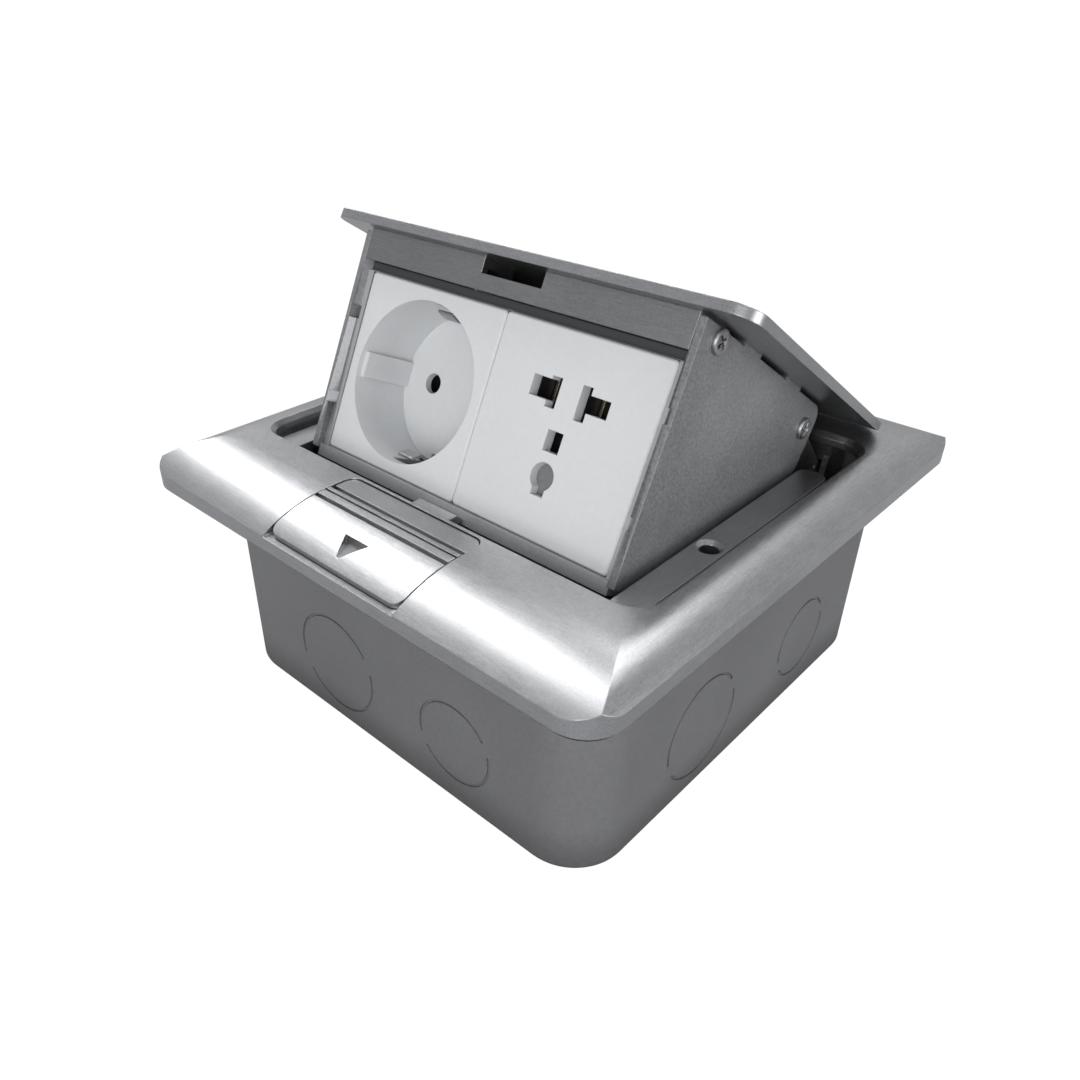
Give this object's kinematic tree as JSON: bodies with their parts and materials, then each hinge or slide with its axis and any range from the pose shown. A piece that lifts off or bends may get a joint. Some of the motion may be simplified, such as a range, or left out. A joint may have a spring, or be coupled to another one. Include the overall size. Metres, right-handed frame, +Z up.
{
  "type": "floor socket box",
  "caption": "Floor socket box: round-cornered steel back box, domed aluminium frame with front latch, and a pop-up lid carrying a round earthed socket and a universal socket.",
  "frame": {"origin": "middle of the underside of the back box, at the foot of the part", "axes": "+Z up through the lid, +X to the right along the front rail with the latch, +Y from the front rail to the hinge"},
  "size_m": [0.1426, 0.1544, 0.1157],
  "materials": {
    "brushed_aluminium": "brushed",
    "box_coat": "matte zinc-grey coat on pressed steel",
    "gasket_rubber": "matte",
    "plate_coat": "fine textured grey coat",
    "holder_plastic": "matte dark grey",
    "cover_plastic": "semi-gloss white",
    "housing_plastic": "matte off-white",
    "shutter_plastic": "matte grey",
    "contact_brass": "plain",
    "spring_steel": "plain spring wire",
    "screw_steel": "bright zinc",
    "bracket_steel": "zinc-plated sheet"
  },
  "bodies": {
    "base": {"back_box": "box_coat", "frame": "brushed_aluminium", "gasket": "gasket_rubber", "hinge_bracket_left": "bracket_steel", "hinge_bracket_right": "bracket_steel", "hinge_pin_left": "screw_steel", "hinge_pin_right": "screw_steel", "torsion_spring_left": "spring_steel", "torsion_spring_right": "spring_steel", "bracket_screw_left_inner": "screw_steel", "bracket_screw_left_outer": "screw_steel", "bracket_screw_right_inner": "screw_steel", "bracket_screw_right_outer": "screw_steel", "latch_spring_left": "spring_steel", "latch_spring_right": "spring_steel"},
    "latch": {"latch_button": "brushed_aluminium", "latch_tongue": "bracket_steel", "latch_slide_plate": "bracket_steel", "latch_screw_left": "screw_steel", "latch_screw_right": "screw_steel"},
    "carriage": {"lid": "brushed_aluminium", "top_rail": "plate_coat", "side_plate_left": "plate_coat", "side_plate_right": "plate_coat", "hinge_arm_left": "bracket_steel", "hinge_arm_right": "bracket_steel", "side_screw_left_front": "screw_steel", "side_screw_left_rear": "screw_steel", "side_screw_right_front": "screw_steel", "side_screw_right_rear": "screw_steel", "lid_screw_left_front": "screw_steel", "lid_screw_left_rear": "screw_steel", "lid_screw_right_front": "screw_steel", "lid_screw_right_rear": "screw_steel", "module_carrier": "holder_plastic", "round_socket_cover": "cover_plastic", "round_socket_housing": "housing_plastic", "round_socket_contact_left": "contact_brass", "round_socket_contact_right": "contact_brass", "round_socket_earth_strap": "contact_brass", "universal_socket_cover": "cover_plastic", "universal_socket_housing": "housing_plastic", "universal_shutter": "shutter_plastic", "universal_contact_line": "contact_brass", "universal_contact_neutral": "contact_brass", "universal_contact_earth": "contact_brass"}
  },
  "joints": [
    {"name": "lid_hinge", "type": "hinge", "parent": "base", "child": "carriage", "pos_m": [0, 0.054, 0.042], "axis": [1, 0, 0], "range_deg": [0, 32], "stiffness_Nm_per_rad": 0.7, "springref_deg": -40.11, "deforming": ["torsion_spring_left", "torsion_spring_right"]},
    {"name": "latch_slide", "type": "slide", "parent": "base", "child": "latch", "axis": [0, -1, 0], "range_m": [0, 0.0045], "stiffness_N_per_m": 300, "springref_m": -0.005, "deforming": ["latch_spring_left", "latch_spring_right"]}
  ]
}
